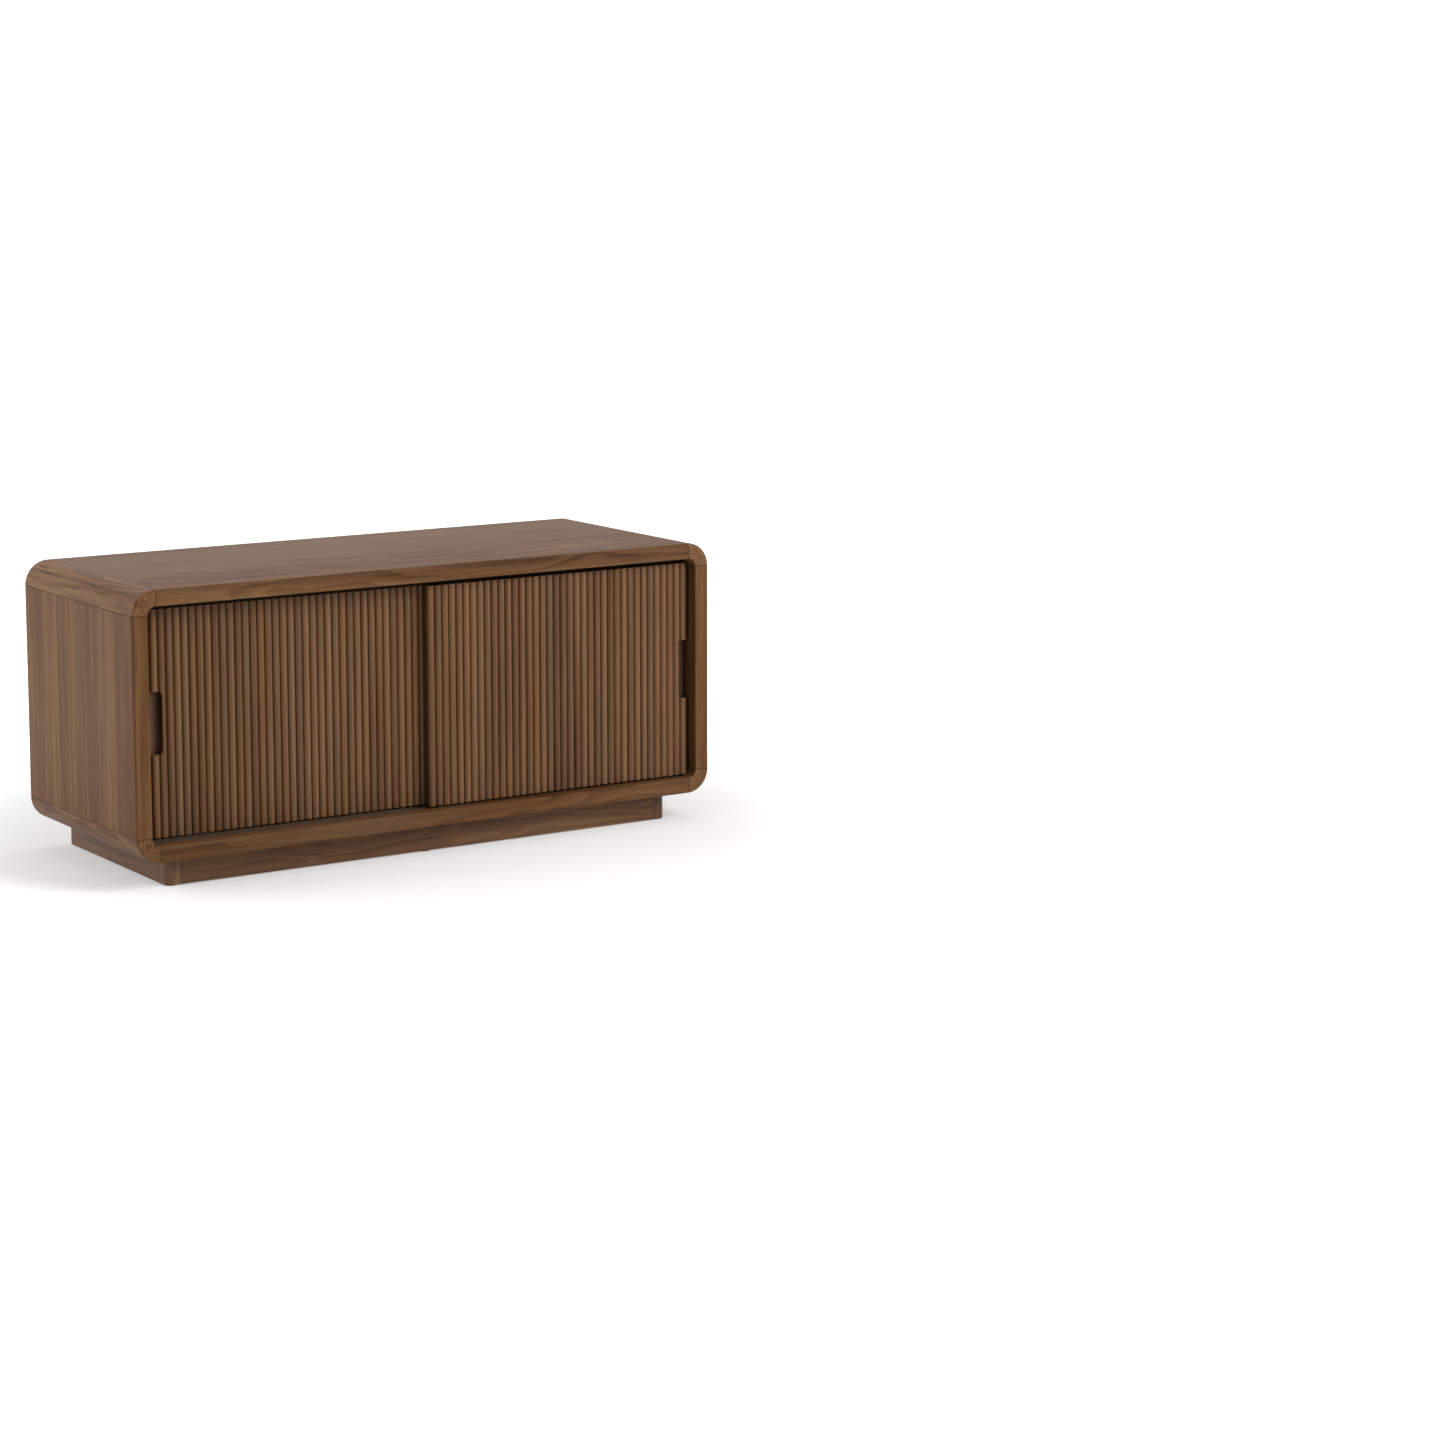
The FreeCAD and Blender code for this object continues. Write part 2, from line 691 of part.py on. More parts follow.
def door(name, side, left_x, front_y):
    """A door: a board with a sunk finger notch at its outer edge, reeds, rollers below and guides above."""
    right_x = left_x + d.door_width
    outer_x = right_x if side > 0 else left_x
    middle_z = (d.door_foot + d.door_head) / 2
    half_notch = d.notch_height / 2
    corners = rectangle((outer_x - d.notch_depth, middle_z - half_notch),
                        (outer_x + d.notch_depth, middle_z + half_notch))
    notch = prism(name + "_notch", "XZ", corners, front_y - d.reed_depth, d.reed_depth + d.notch_sink)
    dressed(notch, "Fillet", "Radius", d.notch_round, lambda box: box.YLength > d.notch_sink.value)
    reeds(name + "_reeds", left_x, front_y, notch)

    board_y = front_y + d.reed_depth
    centre_y = board_y + d.door_board / 2
    board = block(name + "_board", (left_x, board_y, d.door_foot),
                  (right_x, board_y + d.door_board, d.door_head))
    housings = []
    axles = []
    mortises = []
    guides = []
    half_length = d.guide_length / 2
    half_width = d.guide_width / 2
    low_x = left_x + d.roller_end_distance
    high_x = right_x - d.roller_end_distance
    for word, centre_x in (("left", low_x), ("right", high_x)):
        housing, axle, mortise = roller_unit(name, word, centre_x, centre_y)
        housings.append(housing)
        axles.append(axle)
        mortises.append(mortise)
        low = (centre_x - half_length, centre_y - half_width, d.door_head)
        high = (centre_x + half_length, centre_y + half_width, d.door_head + d.guide_height)
        guides.append(block(f"{name}_{word}_guide", low, high))
    keep(cut(name + "_board_cut", board, mortises + [notch]), name + "_panel")
    keep(group(name + "_housings_group", housings), name + "_roller_housings")
    keep(group(name + "_axles_group", axles), name + "_roller_axles")
    keep(group(name + "_guides_group", guides), name + "_top_guides")


# ---------------------------------------------------------------- plinth

def plinth_post(name, side, back_row):
    """A corner post whose outer upright edge is rounded."""
    near, far = d.post_x * side, d.plinth_x * side
    inner_y, outer_y = (d.post_back_start, d.back) if back_row else (d.post_front_end, d.plinth_front)
    toward_y = 1 if back_row else -1
    centre = (far - d.post_round * side, outer_y - d.post_round * toward_y)
    turn = side * toward_y
    corners = [
        (near, inner_y),
        (far, inner_y),
        (far, centre[1], centre, turn),
        (centre[0], outer_y),
        (near, outer_y),
    ]
    return prism(name, "XY", corners, d.glide_height, d.plinth_height - d.glide_height)


def plinth():
    """Four posts, four rails and a cross rail, doweled together and screwed up into the bottom panel."""
    front_rail_back = d.plinth_front + d.plinth_board
    back_rail_front = d.back - d.plinth_board
    side_rail_inner = d.plinth_x - d.plinth_board
    half_board = d.plinth_board / 2
    rail_low = d.glide_height
    rail_high = d.plinth_height
    rail_height = rail_high - rail_low

    places = []
    for z in (rail_low + rail_height / 3, rail_low + rail_height * 2 / 3):
        for side in SIDES:
            post_x = d.post_x * side
            places += [("+X", post_x, y, z) for y in (d.plinth_front + half_board, d.back - half_board)]
            rail_x = (d.plinth_x - half_board) * side
            places += [("+Y", rail_x, y, z) for y in (d.post_front_end, d.post_back_start)]
    dowel_holes = pegs("plinth_dowels", places, d.plinth_dowel_radius, d.plinth_dowel_length)[1]

    half_block = d.glue_block_length / 2
    block_low = rail_high - d.glue_block_height
    blocks = []
    seats = []
    rows = ((front_rail_back, front_rail_back + d.glue_block_width),
            (back_rail_front - d.glue_block_width, back_rail_front))
    for side in SIDES:
        x = d.post_x * side / 2
        for low_y, high_y in rows:
            blocks.append(block(f"glue_block_{len(blocks)}", (x - half_block, low_y, block_low),
                                (x + half_block, high_y, rail_high)))
            seats.append(("+Z", x, (low_y + high_y) / 2, block_low))
        near, far = side_rail_inner - d.glue_block_width, side_rail_inner
        low_x, high_x = (near, far) if side > 0 else (-far, -near)
        middle_y = (d.plinth_front + d.back) / 2
        blocks.append(block(f"glue_block_{len(blocks)}", (low_x, middle_y - half_block, block_low),
                            (high_x, middle_y + half_block, rail_high)))
        seats.append(("+Z", (low_x + high_x) / 2, middle_y, block_low))
    screw_holes = screws("plinth_screws", seats, d.plinth_screw_length)[1]
    keep(cut("glue_blocks_cut", group("glue_blocks_group", blocks), screw_holes), "plinth_glue_blocks")

    rails = {
        "front": block("front_rail", (-d.post_x, d.plinth_front, rail_low),
                       (d.post_x, front_rail_back, rail_high)),
        "back": block("back_rail", (-d.post_x, back_rail_front, rail_low), (d.post_x, d.back, rail_high)),
        "right": block("right_rail", (side_rail_inner, d.post_front_end, rail_low),
                       (d.plinth_x, d.post_back_start, rail_high)),
        "left": block("left_rail", (-d.plinth_x, d.post_front_end, rail_low),
                      (-side_rail_inner, d.post_back_start, rail_high)),
    }
    for word, rail in rails.items():
        keep(cut(f"{word}_rail_cut", rail, dowel_holes), f"plinth_{word}_rail")
    cross = block("cross_rail", (-half_board, front_rail_back, rail_low),
                  (half_board, back_rail_front, rail_high))
    keep(cross, "plinth_cross_rail")

    glides = []
    for word, side in (("left", -1), ("right", 1)):
        for row, back_row in (("front", False), ("back", True)):
            name = f"plinth_{row}_{word}_post"
            keep(cut(name + "_cut", plinth_post(name + "_board", side, back_row), dowel_holes), name)
            glide_y = d.back - d.post_size / 2 if back_row else d.plinth_front + d.post_size / 2
            glides.append((d.plinth_x * side - d.post_size * side / 2, glide_y))
    middle_x = d.plinth_x * 0
    glides += [(middle_x, front_rail_back - half_board), (middle_x, back_rail_front + half_board)]
    feet = [rod(f"glide_{index}", (x, y, 0), "+Z", d.glide_radius, d.glide_height)
            for index, (x, y) in enumerate(glides)]
    keep(group("glides_group", feet), "floor_glides")
    return screw_holes


# ---------------------------------------------------------------- the whole cabinet

def cabinet():
    upper_holes, lower_holes = tracks()
    pin_holes = shelves()
    divider_dowel_holes = divider_holes()
    plinth_holes = plinth()
    divider(pin_holes[0] + divider_dowel_holes)
    back()
    bumpers()
    casing(upper_holes + divider_dowel_holes, lower_holes + divider_dowel_holes + plinth_holes, pin_holes)
    door("front_door", 1, d.door_limit_x - d.door_width, d.front_door_y)
    door("rear_door", -1, -d.door_limit_x + d.rear_door_ajar, d.rear_door_y)


def check():
    """Stop before writing anything if the document or a piece has failed."""
    for item in doc.Objects:
        if {"Invalid", "Error"} & set(item.State):
            raise RuntimeError(f"{item.Name} failed: {item.State}")
    labels = [item.Label for item in nodes]
    if len(set(labels)) != len(labels):
        raise RuntimeError("two pieces share a name")
    for item in nodes:
        if item.Shape.isNull() or not item.Shape.isValid() or not item.Shape.Solids:
            raise RuntimeError(f"{item.Label} has no valid solid")


def write():
    os.makedirs("parts", exist_ok=True)
    for item in nodes:
        item.Shape.exportStep(f"parts/{item.Label}.step")
        print(item.Label, len(item.Shape.Solids))


cabinet()
doc.recompute()
check()
write()
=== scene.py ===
"""The media cabinet's looks: oiled walnut, running gear, a pale studio and the camera."""
import math

import bpy
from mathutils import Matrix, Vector

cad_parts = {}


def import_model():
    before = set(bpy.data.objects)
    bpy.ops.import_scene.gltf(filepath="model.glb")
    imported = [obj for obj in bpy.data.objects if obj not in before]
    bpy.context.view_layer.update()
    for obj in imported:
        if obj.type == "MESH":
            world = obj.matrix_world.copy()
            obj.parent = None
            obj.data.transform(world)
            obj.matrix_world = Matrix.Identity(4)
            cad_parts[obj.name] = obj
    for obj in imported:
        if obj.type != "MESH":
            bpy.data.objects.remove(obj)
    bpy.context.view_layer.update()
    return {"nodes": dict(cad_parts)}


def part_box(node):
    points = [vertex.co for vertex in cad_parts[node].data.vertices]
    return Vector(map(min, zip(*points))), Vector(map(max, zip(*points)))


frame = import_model()
NODES = frame["nodes"]

# ---------------------------------------------------------------- measures, in metres

REEDS = 38
SEAM_HALF_WIDTH = 0.0008

FRONT_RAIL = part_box("plinth_front_rail")
SIDE_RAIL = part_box("plinth_right_rail")
SEAM_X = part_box("top_panel")[1][0]
SEAM_HIGH_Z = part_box("top_right_corner_block")[0][2]
SEAM_LOW_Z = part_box("bottom_right_corner_block")[1][2]
MIDDLE_Z = (SEAM_HIGH_Z + SEAM_LOW_Z) / 2

# ---------------------------------------------------------------- node trees


class Graph:
    """A short way to write the nodes of a material or of the world."""

    def __init__(self, owner):
        owner.use_nodes = True
        self.owner = owner
        self.tree = owner.node_tree
        self.tree.nodes.clear()

    def put(self, socket, value):
        if isinstance(value, bpy.types.NodeSocket):
            self.tree.links.new(value, socket)
        elif isinstance(value, tuple) and len(value) == 3 and socket.type == "RGBA":
            socket.default_value = (*value, 1)
        else:
            socket.default_value = value

    def node(self, kind, inputs=None, **settings):
        made = self.tree.nodes.new(kind)
        for key, value in settings.items():
            setattr(made, key, value)
        for key, value in (inputs or {}).items():
            self.put(made.inputs[key], value)
        return made

    def math(self, operation, first, second=0.0, third=0.0):
        inputs = {0: first, 1: second, 2: third}
        return self.node("ShaderNodeMath", inputs, operation=operation).outputs[0]

    def add(self, first, second):
        return self.math("ADD", first, second)

    def minus(self, first, second):
        return self.math("SUBTRACT", first, second)

    def times(self, first, second):
        return self.math("MULTIPLY", first, second)

    def times_add(self, first, second, third):
        return self.math("MULTIPLY_ADD", first, second, third)

    def size(self, value):
        return self.math("ABSOLUTE", value)

    def least(self, first, *others):
        for other in others:
            first = self.math("MINIMUM", first, other)
        return first

    def most(self, first, *others):
        for other in others:
            first = self.math("MAXIMUM", first, other)
        return first

    def vector(self, x, y, z):
        return self.node("ShaderNodeCombineXYZ", {0: x, 1: y, 2: z}).outputs[0]

    def noise(self, vector, scale=1.0, detail=2.0, roughness=0.5, distortion=0.0):
        inputs = {"Vector": vector, "Scale": scale, "Detail": detail,
                  "Roughness": roughness, "Distortion": distortion}
        return self.node("ShaderNodeTexNoise", inputs).outputs["Fac"]

    def random(self, value):
        made = self.node("ShaderNodeTexWhiteNoise", {"W": value}, noise_dimensions="1D")
        return made.outputs["Value"]

    def spread(self, value, low, high, new_low=0.0, new_high=1.0, smooth=False):
        """Maps low to high onto the new range, and stays inside it."""
        inputs = {"Value": value, "From Min": low, "From Max": high,
                  "To Min": new_low, "To Max": new_high}
        kind = "SMOOTHSTEP" if smooth else "LINEAR"
        made = self.node("ShaderNodeMapRange", inputs, interpolation_type=kind, clamp=True)
        return made.outputs["Result"]

    def mix(self, factor, first, second):
        made = self.node("ShaderNodeMix", data_type="RGBA")
        colours = [socket for socket in made.inputs if socket.type == "RGBA"]
        self.put(made.inputs[0], factor)
        self.put(colours[0], first)
        self.put(colours[1], second)
        return [socket for socket in made.outputs if socket.type == "RGBA"][0]

    def ramp(self, factor, stops):
        made = self.node("ShaderNodeValToRGB", {"Fac": factor})
        made.color_ramp.interpolation = "EASE"
        marks = made.color_ramp.elements
        for index, (position, colour) in enumerate(stops):
            stop = marks[index] if index < 2 else marks.new(position)
            stop.position = position
            stop.color = (*colour, 1)
        return made.outputs["Color"]

    def place(self):
        """The point's own place on the object, in metres."""
        spot = self.node("ShaderNodeTexCoord").outputs["Object"]
        return self.node("ShaderNodeSeparateXYZ", {0: spot}).outputs

    def surface(self, colour, roughness, height, depth, **constants):
        """Ends a material with one Principled shader, bumped by a height."""
        shader = self.node("ShaderNodeBsdfPrincipled",
                           {"Base Color": colour, "Roughness": roughness})
        for name, value in constants.items():
            shader.inputs[name.replace("_", " ")].default_value = value
        bump = self.node("ShaderNodeBump",
                         {"Height": height, "Strength": 1.0, "Distance": depth})
        self.tree.links.new(bump.outputs[0], shader.inputs["Normal"])
        self.output("ShaderNodeOutputMaterial", shader)
        return self.owner

    def output(self, kind, shader):
        self.tree.links.new(shader.outputs[0], self.node(kind).inputs["Surface"])


def material(name):
    return Graph(bpy.data.materials.new(name))


def stretched(g, xyz, grain, along_scale, across_scale):
    """The place, scaled one way along an axis and another way across it."""
    scales = [along_scale if axis == grain else across_scale for axis in range(3)]
    return g.vector(*[g.times(xyz[axis], scales[axis]) for axis in range(3)])


# ---------------------------------------------------------------- walnut

DARK = (0.050, 0.019, 0.007)
BROWN = (0.119, 0.053, 0.021)
WARM = (0.182, 0.087, 0.035)
PALE = (0.252, 0.136, 0.060)
# The grey-brown that the wood is mixed towards: partly its own greyish tone, partly painted sheen
# of the pale surroundings.
GREY_AND_SHEEN = (0.150, 0.092, 0.056)
SEAM_COLOUR = (0.012, 0.006, 0.003)

# The four shades in order of lightness. A new ramp has two stops already, its first and last.
SHADES = [(0.0, DARK), (1.0, PALE), (0.35, BROWN), (0.68, WARM)]

# How often each part of the figure repeats in a metre, along the grain and across it.
FIELD = (1.5, 9.0)
WAVES = (6.5, 34.0)
STREAKS = (1.3, 60.0)
FIBRES = (5.0, 330.0)
CLOUDS = (2.2, 5.0)
PORES = (90.0, 1500.0)

# Growth rings: how strongly the field and the waves bend them, and how many cross a metre.
FIELD_RINGS = 11.0
WAVE_RINGS = 1.5
FLAT_RINGS = 26.0
ROUND_RINGS = 150.0

# How much each part of the figure lightens or darkens the wood.
STREAK_SHARE = 0.95
FIBRE_SHARE = 0.55
CLOUD_SHARE = 0.5
STRIP_SHARE = 0.26
PORE_SHARE = 0.5
SEAM_SHARE = 0.8

# Where each of these starts and ends: a ring's slow rise and quick fall, a pore, and the greyness,
# which is partly the wood's own grey tone and partly painted sheen.
RING_RISE = (0.15, 0.85)
RING_FALL = (1.0, 0.9)
PORE_EDGE = (0.66, 0.76)
GREY_AND_SHEEN_EDGE = (0.45, 1.1)
HUE_SHARE = 0.6

# A seam's dark line is full inside the first share of its half width and gone past the second.
SEAM_EDGE = (0.4 * SEAM_HALF_WIDTH, 1.25 * SEAM_HALF_WIDTH)

# Glued strips differ in width by a slow wave, and each takes its tone and hue from its number.
STRIP_WAVE = 31.0
STRIP_WAVE_HEIGHT = 0.35
TONE_SEED = 3.7
HUE_SEED = 41.3
STRIP_SHIFT = 9.0

# The relief: its depth in metres, the fibres' share of it, and how far they vary the roughness.
WALNUT_BUMP = 0.00012
FIBRE_RELIEF = 0.6
FIBRE_ROUGHNESS = 0.16


def walnut(name, grain, lay, strip=0.09, figure=1.0, tone=0.0, contrast=1.0, grey_and_sheen=0.35,
           seams=None, strip_of=None, rings_of=None, late_dark=0.24, shine=0.3, seed=0.0,
           rough=0.46):
    """Oiled walnut. The grain runs along one axis (0, 1, 2), and the strips lie across another."""
    g = material(name)
    xyz = g.place()
    along, across, deep = xyz[grain], xyz[lay], xyz[3 - grain - lay]

    # Each glued strip has its own tone and its own piece of the figure.
    if strip_of is None:
        wave = g.math("SINE", g.times_add(across, STRIP_WAVE, seed))
        bent = g.times_add(wave, STRIP_WAVE_HEIGHT, g.times(across, 1 / strip))
        index = g.math("FLOOR", bent)
    else:
        index = strip_of(g, xyz)
    pick = g.random(g.add(index, TONE_SEED + seed))
    pick_hue = g.random(g.add(index, HUE_SEED + seed))
    shift = g.times(pick, STRIP_SHIFT)
    u = g.add(along, shift)

    def figure_noise(scales, **kind):
        return g.noise(g.vector(g.times(u, scales[0]), g.times(across, scales[1]),
                                g.times(deep, scales[1])), **kind)

    # Growth rings: contour lines of a field stretched along the grain.
    field = g.noise(g.vector(g.times(u, FIELD[0]), g.times_add(across, FIELD[1], shift),
                             g.times_add(deep, FIELD[1], seed)), roughness=0.45)
    waves = figure_noise(WAVES, detail=1.0)
    if rings_of is None:
        even = g.times(g.add(across, deep), FLAT_RINGS)
    else:
        even = g.times(rings_of(g, xyz), ROUND_RINGS)
    bends = g.times_add(waves, WAVE_RINGS * figure, g.times(field, FIELD_RINGS * figure))
    ring = g.math("FRACT", g.add(bends, even))
    late = g.times(g.spread(ring, *RING_RISE, smooth=True),
                   g.spread(ring, *RING_FALL, smooth=True))

    # Streaks and fibres along the grain, from broad to fine.
    streak = figure_noise(STREAKS, detail=3.0, roughness=0.6)
    fibre = figure_noise(FIBRES, detail=3.0, roughness=0.65)
    cloud = figure_noise(CLOUDS)
    pore = g.spread(figure_noise(PORES, detail=1.0), *PORE_EDGE, smooth=True)

    level = 0.5 + tone
    for part, share in ((streak, STREAK_SHARE), (fibre, FIBRE_SHARE), (cloud, CLOUD_SHARE),
                        (pick, STRIP_SHARE)):
        level = g.times_add(g.minus(part, 0.5), share * contrast, level)
    level = g.times_add(late, -late_dark * contrast, level)
    # Grey patches: partly the wood's own greyish tone, partly painted sheen, which grows with the
    # grey weight.
    greyness_and_sheen = g.times(g.spread(g.add(cloud, g.times(pick_hue, HUE_SHARE)), *GREY_AND_SHEEN_EDGE), grey_and_sheen)
    colour = g.mix(greyness_and_sheen, g.ramp(level, SHADES), GREY_AND_SHEEN)
    colour = g.mix(g.times(pore, PORE_SHARE), colour, DARK)

    roughness = g.times_add(fibre, FIBRE_ROUGHNESS, rough - FIBRE_ROUGHNESS / 2)
    height = g.minus(g.times(fibre, FIBRE_RELIEF), pore)
    if seams is not None:
        seam = g.spread(seams(g, xyz), *SEAM_EDGE, 1.0, 0.0, smooth=True)
        colour = g.mix(g.times(seam, SEAM_SHARE), colour, SEAM_COLOUR)
    return g.surface(colour, roughness, height, WALNUT_BUMP, Specular_IOR_Level=shine)


def off_plane(g, coordinate, position):
    """How far a coordinate is from a plane."""
    return g.size(g.minus(coordinate, position))


def casing_seams(g, xyz):
    """The distance to the nearest seam between the casing's boards and corner blocks."""
    return g.least(off_plane(g, xyz[2], SEAM_HIGH_Z), off_plane(g, xyz[2], SEAM_LOW_Z),
                   off_plane(g, g.size(xyz[0]), SEAM_X))


def plinth_seams(g, xyz):
    """The distance to the nearest seam between the plinth's rails and posts."""
    return g.least(off_plane(g, xyz[1], SIDE_RAIL[0][1]), off_plane(g, xyz[1], SIDE_RAIL[1][1]),
                   off_plane(g, g.size(xyz[0]), FRONT_RAIL[1][0]))


def corner_rings(g, xyz):
    """The distance from the axis of the nearest rounded corner of the casing."""
    right = g.minus(g.size(xyz[0]), SEAM_X)
    up = g.minus(off_plane(g, xyz[2], MIDDLE_Z), SEAM_HIGH_Z - MIDDLE_Z)
    return g.math("SQRT", g.add(g.times(right, right), g.times(up, up)))


def reed_index(node):
    """Counts the slats of a door from its left edge."""
    low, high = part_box(node)
    pitch = (high[0] - low[0]) / REEDS
    return lambda g, xyz: g.math("FLOOR", g.times_add(xyz[0], 1 / pitch, -low[0] / pitch))


# ---------------------------------------------------------------- other materials

# How often the noises repeat in a metre: brush lines, streaks of bare wood, clouds and mottling.
BRUSH_SCALES = (12.0, 900.0)
BARE_SCALES = (3.0, 70.0)
CLOUD_SCALE = 45.0
MOTTLE_SCALE = 60.0
# Where the sum of two noises turns from the darker shade to the full colour.
SPOT_EDGE = (0.6, 1.4)
METAL_DARKER = 0.72
PLASTIC_DARKER = 0.75
METAL_BUMP = 0.00003
BARE_BUMP = 0.0001
BARE_ROUGHNESS = 0.7
BARE_SHADES = [(0.25, (0.34, 0.22, 0.12)), (0.75, (0.56, 0.41, 0.26))]


def two_tone(g, colour, darkness, first, second):
    """The colour with darker spots, from the sum of two noises."""
    darker = tuple(darkness * part for part in colour)
    return g.mix(g.spread(g.add(first, second), *SPOT_EDGE), darker, colour)


def metal(name, colour, roughness, metallic=1.0):
    """Brushed or plated metal: fine lines along X and a little cloudiness."""
    g = material(name)
    xyz = g.place()
    line = g.noise(stretched(g, xyz, 0, *BRUSH_SCALES))
    cloud = g.noise(g.vector(*xyz), scale=CLOUD_SCALE, detail=3.0)
    shade = two_tone(g, colour, METAL_DARKER, line, cloud)
    rough = g.times_add(cloud, 0.2, roughness - 0.1)
    return g.surface(shade, rough, line, METAL_BUMP, Metallic=metallic)


def plastic(name, colour, roughness, grain=1400.0, depth=0.00003, shine=0.4):
    """Moulded plastic, rubber or felt: a fine grain and slight mottling."""
    g = material(name)
    spot = g.vector(*g.place())
    fine = g.noise(spot, scale=grain)
    mottle = g.noise(spot, scale=MOTTLE_SCALE)
    shade = two_tone(g, colour, PLASTIC_DARKER, fine, mottle)
    rough = g.times_add(mottle, 0.15, roughness - 0.07)
    return g.surface(shade, rough, fine, depth, Specular_IOR_Level=shine)


def bare_wood(name, grain):
    """Unfinished pale wood, for the cross rail, glue blocks and dowels."""
    g = material(name)
    streak = g.noise(stretched(g, g.place(), grain, *BARE_SCALES), detail=4.0, roughness=0.6,
                     distortion=0.4)
    return g.surface(g.ramp(streak, BARE_SHADES), BARE_ROUGHNESS, streak, BARE_BUMP)


# ---------------------------------------------------------------- dressing the frame

DOORS = ("front_door", "rear_door")
SIDES = ("left", "right")


def dress(look, *names):
    for name in names:
        for slot in NODES[name].material_slots:
            slot.material = look


def dress_casing():
    # The high grey weight on the top and bottom boards paints the sheen of the pale surroundings
    # into their colour, beside a low real shine.
    along_x = walnut("walnut_casing_x", 0, 1, strip=0.105, tone=0.05, grey_and_sheen=0.66,
                     seams=casing_seams, shine=0.06, seed=1.0)
    upright = walnut("walnut_casing_z", 2, 1, strip=0.030, tone=0.02, contrast=0.95, figure=0.35,
                     grey_and_sheen=0.18, seams=casing_seams, late_dark=0.14, shine=0.06, seed=7.0)
    endwise = walnut("walnut_casing_y", 1, 2, strip=0.4, tone=0.19, figure=1.1, grey_and_sheen=0.12,
                     seams=casing_seams, rings_of=corner_rings, late_dark=0.34, shine=0.13,
                     seed=13.0)
    dress(along_x, "top_panel", "bottom_panel")
    dress(upright, *[f"{side}_side_panel" for side in SIDES])
    dress(endwise, *[f"{level}_{side}_corner_block" for level in ("top", "bottom")
                     for side in SIDES])


def dress_doors():
    for name, seed in zip(DOORS, (21.0, 34.0)):
        slats = walnut(f"walnut_{name}_reeds", 2, 0, tone=0.06, figure=0.35, grey_and_sheen=0.35,
                       strip_of=reed_index(f"{name}_reeds"), late_dark=0.10, shine=0.17,
                       seed=seed)
        board = walnut(f"walnut_{name}_board", 2, 0, strip=0.12, tone=-0.28, shine=0.2,
                       seed=seed + 3.0)
        dress(slats, f"{name}_reeds")
        dress(board, f"{name}_panel")


def dress_plinth():
    along_x = walnut("walnut_plinth_x", 0, 2, strip=0.3, tone=-0.08, figure=1.2, shine=0.2,
                     seams=plinth_seams, seed=51.0)
    along_y = walnut("walnut_plinth_y", 1, 2, strip=0.3, tone=-0.02, seams=plinth_seams, seed=57.0)
    upright = walnut("walnut_plinth_z", 2, 0, strip=0.3, tone=-0.04, seams=plinth_seams, seed=63.0)
    dress(along_x, "plinth_front_rail", "plinth_back_rail")
    dress(along_y, *[f"plinth_{side}_rail" for side in SIDES])
    dress(upright, *[f"plinth_{row}_{side}_post" for row in ("front", "back") for side in SIDES])


def dress_inside():
    shelf = walnut("walnut_shelf", 0, 1, strip=0.12, tone=-0.04, contrast=0.8, seed=71.0,
                   rough=0.55)
    upright = walnut("walnut_divider", 2, 1, strip=0.12, tone=-0.04, contrast=0.8, seed=77.0,
                     rough=0.55)
    back = walnut("walnut_back", 2, 0, strip=0.15, tone=-0.06, contrast=0.8, seed=83.0, rough=0.6)
    dress(shelf, *[f"{side}_shelf" for side in SIDES], "back_top_battens", "back_bottom_battens")
    dress(upright, "centre_divider")
    dress(back, "back_panel")
    dress(bare_wood("bare_wood_x", 0), "plinth_glue_blocks")
    dress(bare_wood("bare_wood_y", 1),
          "plinth_cross_rail", "case_dowels", "divider_dowels", "plinth_dowels")


def dress_running_gear():
    dress(plastic("dark_brown_track", (0.012, 0.007, 0.004), 0.75, shine=0.05), "upper_track")
    dress(metal("bronze_anodised_track", (0.115, 0.078, 0.052), 0.45, metallic=0.7), "lower_track")
    dress(metal("plated_steel", (0.55, 0.54, 0.52), 0.3),
          "track_screws", "back_panel_screws", "plinth_screws", "shelf_pins",
          *[f"{door}_roller_axles" for door in DOORS])
    dress(plastic("black_nylon", (0.022, 0.018, 0.016), 0.45),
          *[f"{door}_{side}_roller" for door in DOORS for side in SIDES])
    dress(plastic("dark_nylon", (0.030, 0.024, 0.020), 0.5),
          *[f"{door}_roller_housings" for door in DOORS], *[f"{door}_top_guides" for door in DOORS])
    dress(plastic("black_rubber", (0.02, 0.02, 0.02), 0.75), "door_bumpers")
    dress(plastic("grommet_plastic", (0.035, 0.03, 0.027), 0.5), "cable_grommets")
    dress(plastic("brown_felt", (0.07, 0.055, 0.045), 0.95, grain=2600.0, depth=0.0002),
          "floor_glides")


# ---------------------------------------------------------------- studio

FLOOR_SIZE = 60.0
FLOOR_COLOUR = (0.80, 0.80, 0.80)
WHITE = (1.0, 1.0, 1.0)
# The floor's glow to the eye, which hides the horizon: its strength near the object, and the
# distances in metres at which it starts to grow and reaches white.
FLOOR_LIFT = 0.26
LIFT_FROM = 0.62
LIFT_TO = 1.5
# The light of the pale surroundings on the object. A ray that sees them gets white.
WORLD_FILL = 0.36


def sees_white(g):
    """1 for the rays that should see pale surroundings: from the camera, a mirror or glass."""
    path = g.node("ShaderNodeLightPath").outputs
    return g.most(path["Is Camera Ray"], path["Is Glossy Ray"], path["Is Transmission Ray"])


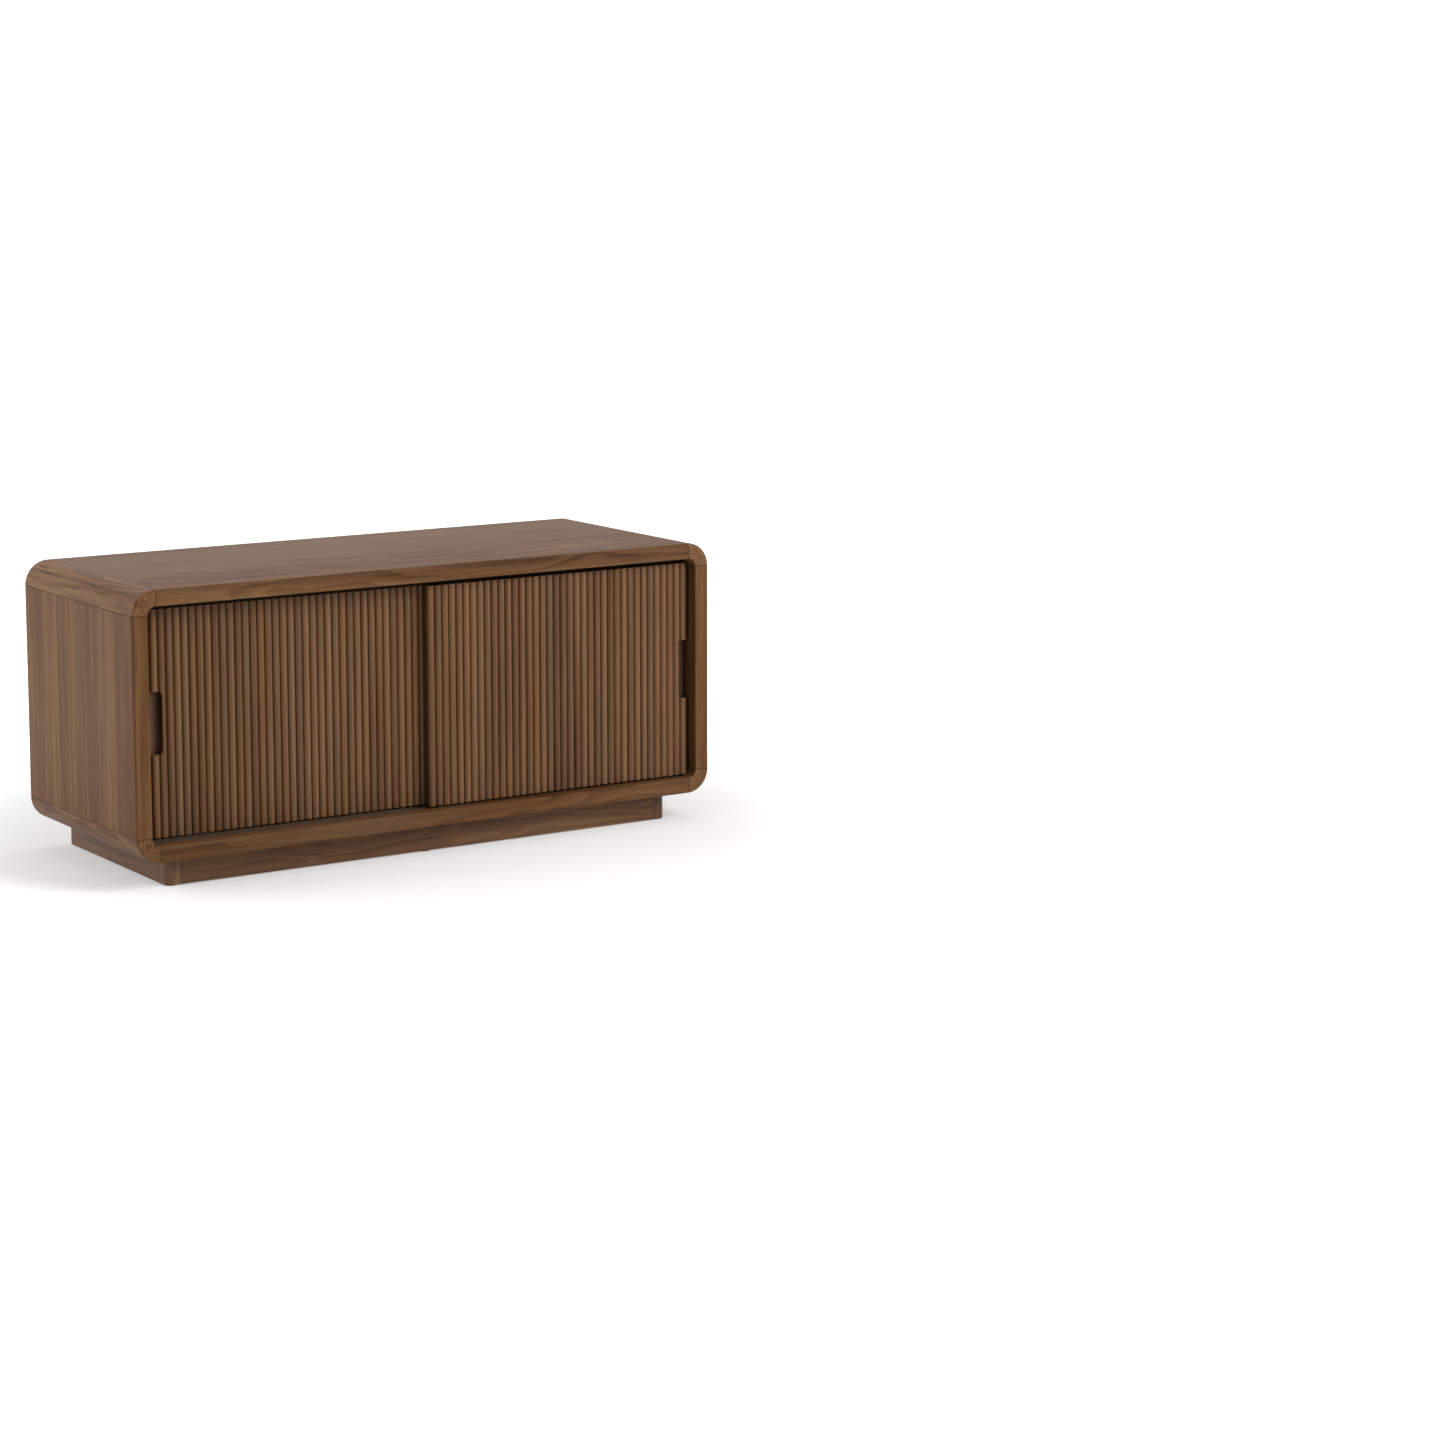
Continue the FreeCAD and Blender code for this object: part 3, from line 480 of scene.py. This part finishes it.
def floor():
    """A pale floor that keeps the object's soft shadow."""
    bpy.ops.mesh.primitive_plane_add(size=FLOOR_SIZE, location=(0, 0, 0))
    plane = bpy.context.object
    plane.name = "floor"
    g = material("pale_floor")
    xyz = g.place()
    far = g.node("ShaderNodeVectorMath", {0: g.vector(xyz[0], xyz[1], 0.0)}, operation="LENGTH")
    lift = g.spread(far.outputs["Value"], LIFT_FROM, LIFT_TO, FLOOR_LIFT, 1.0, smooth=True)
    paint = g.node("ShaderNodeBsdfDiffuse", {"Color": FLOOR_COLOUR})
    glow = g.node("ShaderNodeEmission", {"Color": WHITE, "Strength": g.times(sees_white(g), lift)})
    both = g.node("ShaderNodeAddShader", {0: paint.outputs[0], 1: glow.outputs[0]})
    g.output("ShaderNodeOutputMaterial", both)
    plane.data.materials.append(g.owner)


def world():
    """Even surroundings: white to the eye, and a softer fill on the object."""
    g = Graph(bpy.data.worlds.new("studio"))
    strength = g.spread(sees_white(g), 0.0, 1.0, WORLD_FILL, 1.0)
    background = g.node("ShaderNodeBackground", {"Color": WHITE, "Strength": strength})
    g.output("ShaderNodeOutputWorld", background)
    bpy.context.scene.world = g.owner


def lamp(name, place, target, size, power):
    """A square soft box that faces a point."""
    data = bpy.data.lights.new(name, "AREA")
    data.shape = "SQUARE"
    data.size = size
    data.energy = power
    box = bpy.data.objects.new(name, data)
    box.location = place
    box.rotation_euler = (Vector(target) - Vector(place)).to_track_quat("-Z", "Y").to_euler()
    bpy.context.collection.objects.link(box)


def studio():
    floor()
    world()
    lamp("front_right_box", (2.0, -3.9, 2.9), (0.0, 0, 0.3), 2.2, 185)
    lamp("left_box", (-3.2, 1.4, 1.8), (-0.4, 0, 0.3), 2.2, 68)
    lamp("overhead_box", (0.3, 0.4, 3.4), (0, 0, 0.4), 2.8, 18)


# ---------------------------------------------------------------- camera

SENSOR_WIDTH = 36.0
LENS = 87.32
SHIFT_Y = -0.1003
FAR_CLIP = 200.0
CAMERA_PLACE = (-3.1402, -5.9023, 1.4389)
# Degrees: how far the camera is turned to the right, and tilted down.
CAMERA_YAW = 33.753
CAMERA_PITCH = 8.04


def camera():
    data = bpy.data.cameras.new("camera")
    data.sensor_width = SENSOR_WIDTH
    data.lens = LENS
    data.shift_y = SHIFT_Y
    data.clip_end = FAR_CLIP
    eye = bpy.data.objects.new("camera", data)
    eye.location = CAMERA_PLACE
    eye.rotation_euler = (math.radians(90 - CAMERA_PITCH), 0, math.radians(-CAMERA_YAW))
    bpy.context.collection.objects.link(eye)
    bpy.context.scene.camera = eye


camera()
dress_casing()
dress_doors()
dress_plinth()
dress_inside()
dress_running_gear()
studio()
bpy.context.scene.view_settings.view_transform = "Standard"
